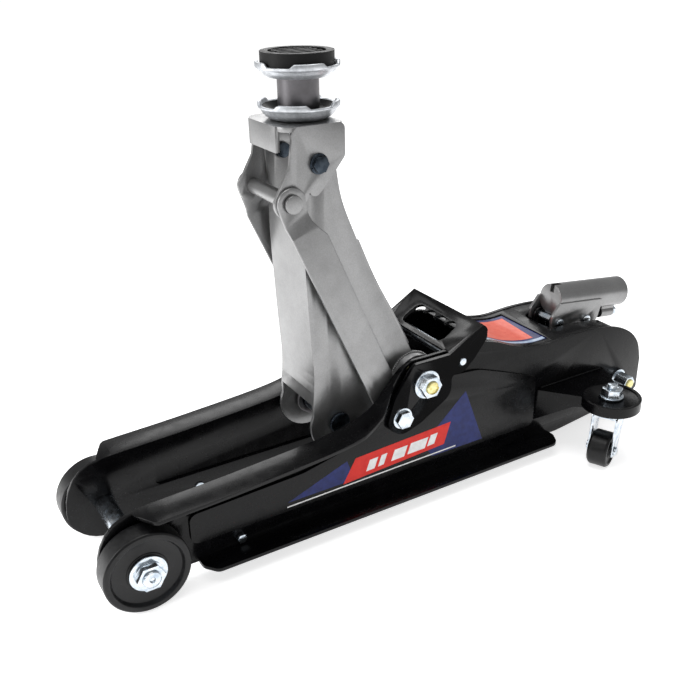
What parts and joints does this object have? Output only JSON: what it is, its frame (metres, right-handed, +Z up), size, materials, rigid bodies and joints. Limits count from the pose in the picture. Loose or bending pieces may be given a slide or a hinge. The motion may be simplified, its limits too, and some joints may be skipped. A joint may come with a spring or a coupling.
{
  "type": "trolley jack",
  "caption": "Low-profile hydraulic trolley jack: channel side frame, raised lift arm with level saddle and pad, front wheels, rear casters and handle socket.",
  "frame": {"origin": "on the floor, midway between the front of the front wheels and the mouth of the handle socket, on the centre plane between the side plates", "axes": "+X towards the handle, +Y towards the jack's right side seen from the handle looking forward, +Z up"},
  "size_m": [0.676, 0.284, 0.4525],
  "materials": {
    "black_paint": "gloss black powder coat",
    "wheel_plastic": "moulded black nylon",
    "silver_paint": "silver-grey metallic paint",
    "bare_casting": "bright zinc-plated casting",
    "dark_steel": "dark machined steel",
    "unit_paint": "black enamel over castings",
    "rubber": "matt moulded rubber",
    "zinc_steel": "bright bluish zinc plate"
  },
  "bodies": {
    "root": {"side_plate_left": "black_paint", "side_plate_right": "black_paint", "top_cover": "black_paint", "carry_handle": "black_paint", "handle_rod": "zinc_steel", "front_axle": "zinc_steel", "axle_washers": "zinc_steel", "axle_nuts": "zinc_steel", "plate_bolts": "zinc_steel", "arm_shaft": "zinc_steel", "arm_shaft_nuts": "zinc_steel", "link_bolts": "zinc_steel", "rear_tie_bolt": "zinc_steel", "rear_tie_nuts": "zinc_steel", "caster_wing_left": "black_paint", "caster_wing_right": "black_paint", "caster_head_left": "black_paint", "caster_head_right": "black_paint", "return_springs": "zinc_steel", "pressure_cylinder": "dark_steel", "reservoir": "unit_paint", "power_block": "unit_paint", "pump_body": "dark_steel", "socket_pin": "zinc_steel"},
    "arm": {"lift_arm": "silver_paint", "ram_pin": "dark_steel"},
    "bracket": {"saddle_bracket": "silver_paint", "bracket_bolts": "zinc_steel", "link_pin": "silver_paint"},
    "link_l": {"link_left": "silver_paint"},
    "link_r": {"link_right": "silver_paint"},
    "saddle": {"lower_saddle": "bare_casting"},
    "adapter": {"extension_post": "dark_steel", "upper_saddle": "bare_casting", "rubber_pad": "rubber"},
    "ram": {"ram_rod": "zinc_steel", "crosshead": "dark_steel", "spring_bar": "zinc_steel"},
    "push_links": {"push_link_left": "dark_steel", "push_link_right": "dark_steel"},
    "front_wheel_l": {"front_wheel_left": "wheel_plastic"},
    "front_wheel_r": {"front_wheel_right": "wheel_plastic"},
    "caster_l": {"caster_fork_left": "zinc_steel", "caster_axle_left": "zinc_steel", "caster_nut_left": "zinc_steel"},
    "caster_r": {"caster_fork_right": "zinc_steel", "caster_axle_right": "zinc_steel", "caster_nut_right": "zinc_steel"},
    "caster_wheel_l": {"caster_wheel_left": "wheel_plastic"},
    "caster_wheel_r": {"caster_wheel_right": "wheel_plastic"},
    "socket": {"handle_socket": "silver_paint", "pump_pin": "zinc_steel"},
    "clamp": {"clamp_bolt": "zinc_steel"},
    "piston": {"pump_piston": "zinc_steel"},
    "valve": {"release_valve": "zinc_steel"}
  },
  "joints": [
    {"name": "arm_lift", "type": "hinge", "parent": "root", "child": "arm", "pos_m": [0.00699, 0, 0.133], "axis": [0, 1, 0], "range_deg": [-85, 0]},
    {"name": "bracket_level", "type": "hinge", "parent": "arm", "child": "bracket", "pos_m": [-0.09543, 0, 0.36303], "axis": [0, 1, 0], "range_deg": [0, 85]},
    {"name": "link_swing_left", "type": "hinge", "parent": "root", "child": "link_l", "pos_m": [-0.02201, -0.045, 0.103], "axis": [0, 1, 0], "range_deg": [-85, 0]},
    {"name": "link_swing_right", "type": "hinge", "parent": "root", "child": "link_r", "pos_m": [-0.02201, 0.045, 0.103], "axis": [0, 1, 0], "range_deg": [-85, 0]},
    {"name": "push_link_swing", "type": "hinge", "parent": "arm", "child": "push_links", "pos_m": [-0.07901, 0, 0.103], "axis": [0, 1, 0], "range_deg": [0, 36.07]},
    {"name": "ram_slide", "type": "slide", "parent": "root", "child": "ram", "axis": [1, 0, 0], "range_m": [0, 0.121], "deforming": ["return_springs"]},
    {"name": "saddle_turn", "type": "hinge", "parent": "bracket", "child": "saddle", "pos_m": [-0.09293, 0, 0.39643], "axis": [0, 0, 1], "continuous": true},
    {"name": "adapter_lift", "type": "slide", "parent": "saddle", "child": "adapter", "axis": [0, 0, 1], "range_m": [0, 0.03]},
    {"name": "front_wheel_roll_left", "type": "hinge", "parent": "root", "child": "front_wheel_l", "pos_m": [-0.29801, -0.066, 0.04], "axis": [0, 1, 0], "continuous": true},
    {"name": "front_wheel_roll_right", "type": "hinge", "parent": "root", "child": "front_wheel_r", "pos_m": [-0.29801, 0.066, 0.04], "axis": [0, 1, 0], "continuous": true},
    {"name": "caster_swivel_left", "type": "hinge", "parent": "root", "child": "caster_l", "pos_m": [0.22199, -0.11, 0.07], "axis": [0, 0, 1], "continuous": true},
    {"name": "caster_swivel_right", "type": "hinge", "parent": "root", "child": "caster_r", "pos_m": [0.22199, 0.11, 0.07], "axis": [0, 0, 1], "continuous": true},
    {"name": "caster_roll_left", "type": "hinge", "parent": "caster_l", "child": "caster_wheel_l", "pos_m": [0.21021, -0.11549, 0.02], "axis": [0.4226, -0.9063, 0], "continuous": true},
    {"name": "caster_roll_right", "type": "hinge", "parent": "caster_r", "child": "caster_wheel_r", "pos_m": [0.21021, 0.11549, 0.02], "axis": [-0.4226, -0.9063, 0], "continuous": true},
    {"name": "handle_pump", "type": "hinge", "parent": "root", "child": "socket", "pos_m": [0.22399, 0, 0.133], "axis": [0, -1, 0], "range_deg": [0, 55]},
    {"name": "pump_stroke", "type": "slide", "parent": "root", "child": "piston", "axis": [0, 0, 1], "range_m": [0, 0.018]},
    {"name": "clamp_turn", "type": "hinge", "parent": "socket", "child": "clamp", "pos_m": [0.31908, 0, 0.11965], "axis": [0.993, 0, -0.1184], "continuous": true},
    {"name": "release_turn", "type": "hinge", "parent": "root", "child": "valve", "pos_m": [0.32399, -0.018, 0.072], "axis": [1, 0, 0], "range_deg": [0, 90]}
  ],
  "couplings": [
    {"joint": "bracket_level", "follows": "arm_lift", "ratio": -1},
    {"joint": "link_swing_left", "follows": "arm_lift", "ratio": 1},
    {"joint": "link_swing_right", "follows": "arm_lift", "ratio": 1},
    {"joint": "push_link_swing", "follows": "arm_lift", "ratio": -0.42435},
    {"joint": "ram_slide", "follows": "arm_lift", "m_per_rad": -0.081562},
    {"joint": "pump_stroke", "follows": "handle_pump", "m_per_rad": 0.018751}
  ]
}
